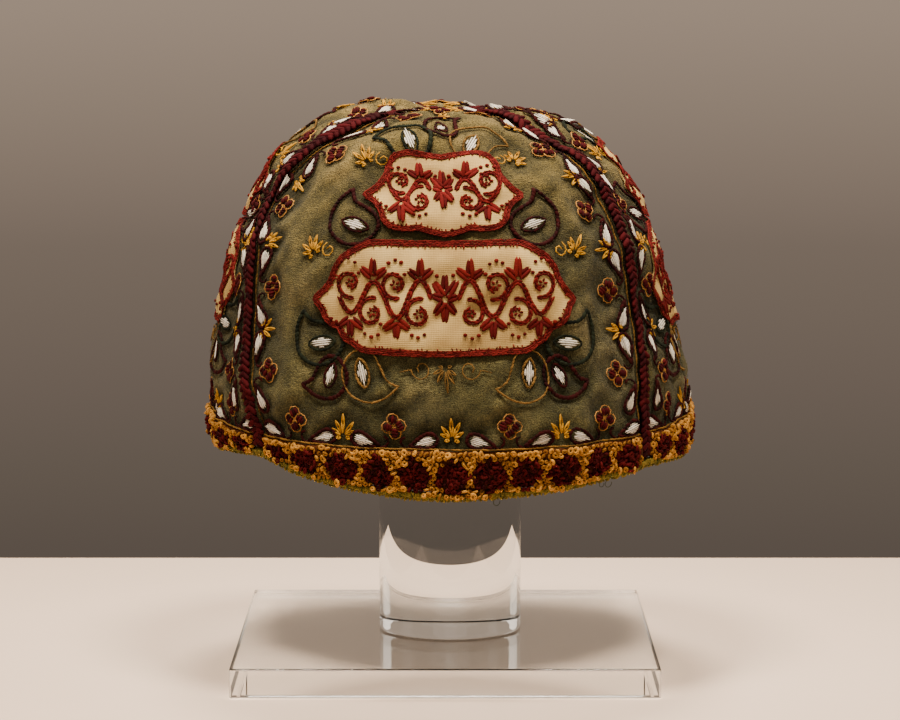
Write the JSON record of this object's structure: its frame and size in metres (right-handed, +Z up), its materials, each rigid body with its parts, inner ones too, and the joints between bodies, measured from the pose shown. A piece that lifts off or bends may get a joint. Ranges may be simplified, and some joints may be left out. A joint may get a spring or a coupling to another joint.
{
  "type": "dervish cap on display stand",
  "caption": "Padded wool dome cap with embroidered cartouches, braided seams and a knotted band, resting on a clear column and plate stand.",
  "frame": {"origin": "under the plate, on the axis of the column", "axes": "+Z up, -Y towards the front of the cap, +X to the right of someone who looks at the front"},
  "size_m": [0.1761, 0.176, 0.2038],
  "materials": {
    "wool": "matte olive wool cloth",
    "cream_cloth": "matte cream cloth",
    "braid": "crimson chain braid",
    "band_thread": "ochre and maroon knotted thread",
    "hem_thread": "yellow green stitched edge",
    "clear_acrylic": "clear polished"
  },
  "bodies": {
    "root": {"panel_front": "wool", "band_front": "band_thread", "seam_braid_front_right": "braid", "cartouche_large_front": "cream_cloth", "cartouche_small_front": "cream_cloth", "panel_right": "wool", "band_right": "band_thread", "seam_braid_back_right": "braid", "cartouche_large_right": "cream_cloth", "cartouche_small_right": "cream_cloth", "panel_back": "wool", "band_back": "band_thread", "seam_braid_back_left": "braid", "cartouche_large_back": "cream_cloth", "cartouche_small_back": "cream_cloth", "panel_left": "wool", "band_left": "band_thread", "seam_braid_front_left": "braid", "cartouche_large_left": "cream_cloth", "cartouche_small_left": "cream_cloth", "hem_edge": "hem_thread", "stand_column": "clear_acrylic", "stand_plate": "clear_acrylic"}
  },
  "joints": []
}
